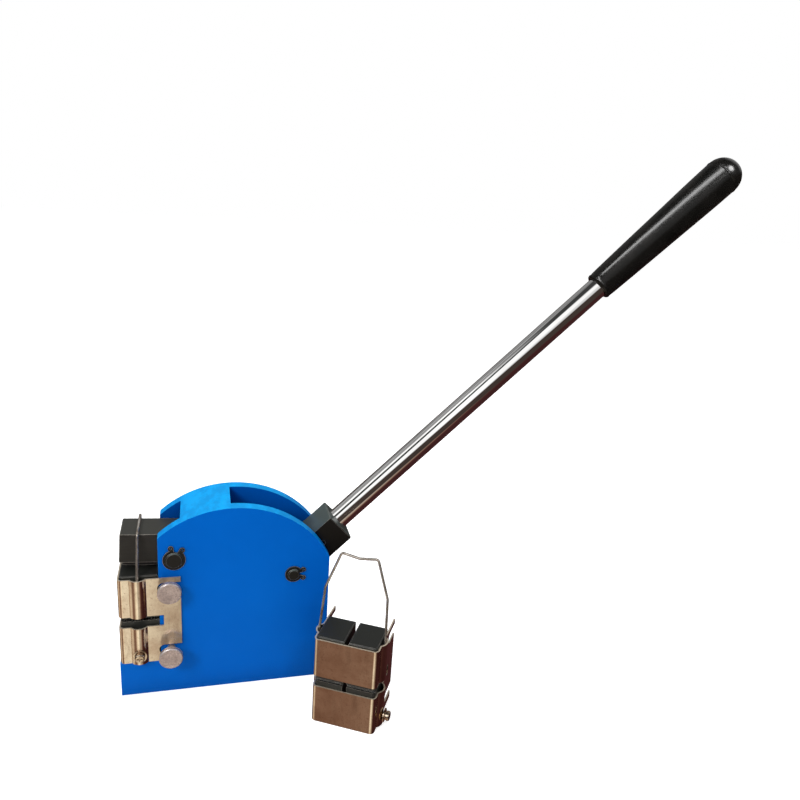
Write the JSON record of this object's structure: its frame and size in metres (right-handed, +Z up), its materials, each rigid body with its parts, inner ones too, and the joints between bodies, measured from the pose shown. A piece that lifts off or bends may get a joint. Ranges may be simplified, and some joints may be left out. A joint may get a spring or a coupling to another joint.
{
  "type": "sheet metal shrinker and stretcher",
  "caption": "Bench-top hand-lever sheet-metal shrinker and stretcher: twin side plates, rocking ram, long chromed lever, slide-on jaw cartridge and a loose second one.",
  "frame": {"origin": "mid-plane of the body, at floor level, under the upright front edges of the side plates", "axes": "+X from the jaws to the back, +Y across the body, +Z up"},
  "size_m": [0.6115, 0.1721, 0.5454],
  "materials": {
    "body_paint": "smooth gloss enamel",
    "black_steel": "black oxide, machined",
    "jaw_steel": "hardened, black oxide",
    "rod_chrome": "polished",
    "grip_plastic": "moulded, glossy",
    "housing_plate": "satin nickel plate",
    "zinc_plate": "bright zinc plate",
    "wire_steel": "drawn spring wire",
    "yellow_zinc": "yellow passivated zinc"
  },
  "bodies": {
    "frame": {"side_plate_near": "body_paint", "side_plate_far": "body_paint", "top_web": "body_paint", "base_block": "body_paint", "throat_block": "body_paint", "rear_spacer": "body_paint", "ram_pin": "black_steel", "lever_pin": "black_steel", "ram_pin_circlips": "black_steel", "lever_pin_circlips": "black_steel", "ram_thrust_washers": "black_steel", "return_spring": "wire_steel"},
    "lever": {"lever_block": "black_steel", "lever_rod": "rod_chrome", "lever_grip": "grip_plastic", "rod_cross_pin": "black_steel", "roller_pin": "black_steel"},
    "roller": {"lift_roller": "zinc_plate"},
    "ram": {"ram": "black_steel"},
    "thumb_screw_near_upper": {"thumb_screw_near_upper": "zinc_plate"},
    "thumb_screw_near_lower": {"thumb_screw_near_lower": "zinc_plate"},
    "thumb_screw_far_upper": {"thumb_screw_far_upper": "zinc_plate"},
    "thumb_screw_far_lower": {"thumb_screw_far_lower": "zinc_plate"},
    "cartridge": {"jaw_housing": "housing_plate", "jaw_screws": "yellow_zinc", "jaw_flat_washer": "yellow_zinc", "jaw_lock_washer": "yellow_zinc", "jaw_nuts": "yellow_zinc"},
    "bail": {"wire_bail": "wire_steel"},
    "upper_jaw_near": {"upper_jaw_near": "jaw_steel"},
    "upper_jaw_far": {"upper_jaw_far": "jaw_steel"},
    "lower_jaw_near": {"lower_jaw_near": "jaw_steel"},
    "lower_jaw_far": {"lower_jaw_far": "jaw_steel"},
    "spare_cartridge": {"spare_jaw_housing": "housing_plate", "spare_jaw_screws": "yellow_zinc", "spare_jaw_flat_washer": "yellow_zinc", "spare_jaw_lock_washer": "yellow_zinc", "spare_jaw_nuts": "yellow_zinc"},
    "spare_bail": {"spare_wire_bail": "wire_steel"},
    "spare_upper_jaw_near": {"spare_upper_jaw_near": "jaw_steel"},
    "spare_upper_jaw_far": {"spare_upper_jaw_far": "jaw_steel"},
    "spare_lower_jaw_near": {"spare_lower_jaw_near": "jaw_steel"},
    "spare_lower_jaw_far": {"spare_lower_jaw_far": "jaw_steel"}
  },
  "joints": [
    {"name": "lever_swing", "type": "hinge", "parent": "frame", "child": "lever", "pos_m": [0.1275, 0, 0.1225], "axis": [0, 1, 0], "range_deg": [0, 42], "stiffness_Nm_per_rad": 8, "springref_deg": -34.38},
    {"name": "ram_tilt", "type": "hinge", "parent": "frame", "child": "ram", "pos_m": [0.0145, 0, 0.147], "axis": [0, -1, 0], "range_deg": [0, 8], "deforming": ["return_spring"]},
    {"name": "roller_spin", "type": "hinge", "parent": "lever", "child": "roller", "pos_m": [0.11302, 0, 0.10871], "axis": [0, 1, 0], "continuous": true},
    {"name": "thumb_screw_near_upper_turn", "type": "hinge", "parent": "frame", "child": "thumb_screw_near_upper", "pos_m": [0.01, -0.04, 0.1183], "axis": [0, -1, 0], "range_deg": [-360, 360]},
    {"name": "thumb_screw_near_lower_turn", "type": "hinge", "parent": "frame", "child": "thumb_screw_near_lower", "pos_m": [0.01, -0.04, 0.05], "axis": [0, -1, 0], "range_deg": [-360, 360]},
    {"name": "thumb_screw_far_upper_turn", "type": "hinge", "parent": "frame", "child": "thumb_screw_far_upper", "pos_m": [0.01, 0.04, 0.1183], "axis": [0, 1, 0], "range_deg": [-360, 360]},
    {"name": "thumb_screw_far_lower_turn", "type": "hinge", "parent": "frame", "child": "thumb_screw_far_lower", "pos_m": [0.01, 0.04, 0.05], "axis": [0, 1, 0], "range_deg": [-360, 360]},
    {"name": "cartridge_slide_off", "type": "slide", "parent": "frame", "child": "cartridge", "axis": [-1, 0, 0], "range_m": [0, 0.06]},
    {"name": "jaw_press", "type": "slide", "parent": "cartridge", "child": "bail", "axis": [0, 0, -1], "range_m": [0, 0.0022]},
    {"name": "upper_jaw_near_shift", "type": "slide", "parent": "bail", "child": "upper_jaw_near", "axis": [0, -1, 0], "range_m": [0, 0.0011]},
    {"name": "upper_jaw_far_shift", "type": "slide", "parent": "bail", "child": "upper_jaw_far", "axis": [0, 1, 0], "range_m": [0, 0.0011]},
    {"name": "lower_jaw_near_shift", "type": "slide", "parent": "cartridge", "child": "lower_jaw_near", "axis": [0, -1, 0], "range_m": [0, 0.0011]},
    {"name": "lower_jaw_far_shift", "type": "slide", "parent": "cartridge", "child": "lower_jaw_far", "axis": [0, 1, 0], "range_m": [0, 0.0011]},
    {"name": "spare_lift_off", "type": "slide", "parent": "frame", "child": "spare_cartridge", "axis": [0, 0, 1], "range_m": [0, 0.12]},
    {"name": "spare_jaw_press", "type": "slide", "parent": "spare_cartridge", "child": "spare_bail", "axis": [0, 0, -1], "range_m": [0, 0.0022]},
    {"name": "spare_upper_jaw_near_shift", "type": "slide", "parent": "spare_bail", "child": "spare_upper_jaw_near", "axis": [-0.8712, 0.4909, 0], "range_m": [0, 0.0011]},
    {"name": "spare_upper_jaw_far_shift", "type": "slide", "parent": "spare_bail", "child": "spare_upper_jaw_far", "axis": [0.8712, -0.4909, 0], "range_m": [0, 0.0011]},
    {"name": "spare_lower_jaw_near_shift", "type": "slide", "parent": "spare_cartridge", "child": "spare_lower_jaw_near", "axis": [-0.8712, 0.4909, 0], "range_m": [0, 0.0011]},
    {"name": "spare_lower_jaw_far_shift", "type": "slide", "parent": "spare_cartridge", "child": "spare_lower_jaw_far", "axis": [0.8712, -0.4909, 0], "range_m": [0, 0.0011]}
  ],
  "couplings": [
    {"joint": "ram_tilt", "follows": "lever_swing", "ratio": 0.19045},
    {"joint": "jaw_press", "follows": "lever_swing", "m_per_rad": 0.003},
    {"joint": "upper_jaw_near_shift", "follows": "lever_swing", "m_per_rad": 0.0015},
    {"joint": "upper_jaw_far_shift", "follows": "lever_swing", "m_per_rad": 0.0015},
    {"joint": "lower_jaw_near_shift", "follows": "lever_swing", "m_per_rad": 0.0015},
    {"joint": "lower_jaw_far_shift", "follows": "lever_swing", "m_per_rad": 0.0015},
    {"joint": "spare_upper_jaw_near_shift", "follows": "spare_jaw_press", "ratio": 0.5},
    {"joint": "spare_upper_jaw_far_shift", "follows": "spare_jaw_press", "ratio": 0.5},
    {"joint": "spare_lower_jaw_near_shift", "follows": "spare_jaw_press", "ratio": 0.5},
    {"joint": "spare_lower_jaw_far_shift", "follows": "spare_jaw_press", "ratio": 0.5}
  ]
}
